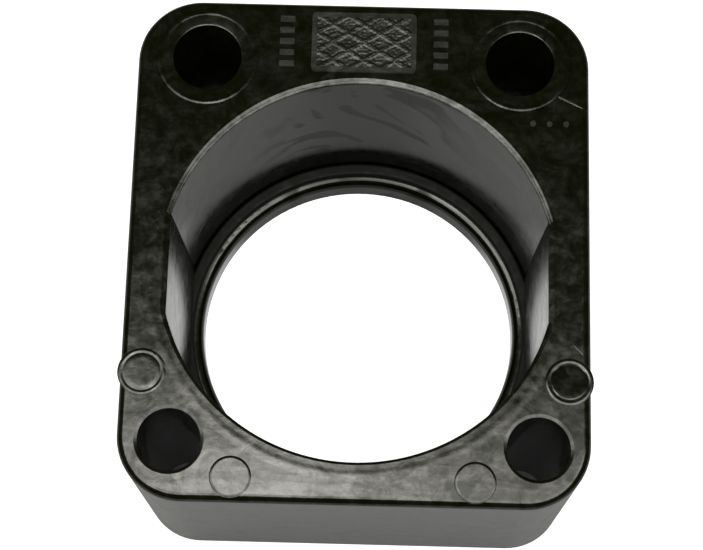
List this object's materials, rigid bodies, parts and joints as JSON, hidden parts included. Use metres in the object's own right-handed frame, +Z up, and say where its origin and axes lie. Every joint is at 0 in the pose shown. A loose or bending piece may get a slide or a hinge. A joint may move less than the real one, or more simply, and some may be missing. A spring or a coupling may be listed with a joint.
{
  "type": "toilet flange",
  "caption": "Thick moulded toilet flange: a rounded block with a keyed pipe socket, a stop ledge at its foot, corner bolt holes, pressed-in bolt sleeves and rubber seals.",
  "frame": {"origin": "on the pipe socket's axis, in the bottom (mounting) face", "axes": "+Z up out of the socket's mouth, +Y to the back of the block, where the bolt sleeves are, +X to its right seen from above"},
  "size_m": [0.072, 0.0806, 0.0443],
  "materials": {
    "black_moulding": "as-moulded, half gloss, with flow marks and light handling scratches",
    "sleeve_plastic": "as-moulded, half gloss",
    "seal_rubber": "matt black rubber"
  },
  "bodies": {
    "root": {"flange_body": "black_moulding", "bolt_sleeve_left": "sleeve_plastic", "bolt_sleeve_right": "sleeve_plastic", "seat_washer": "seal_rubber", "face_seal": "seal_rubber"}
  },
  "joints": []
}
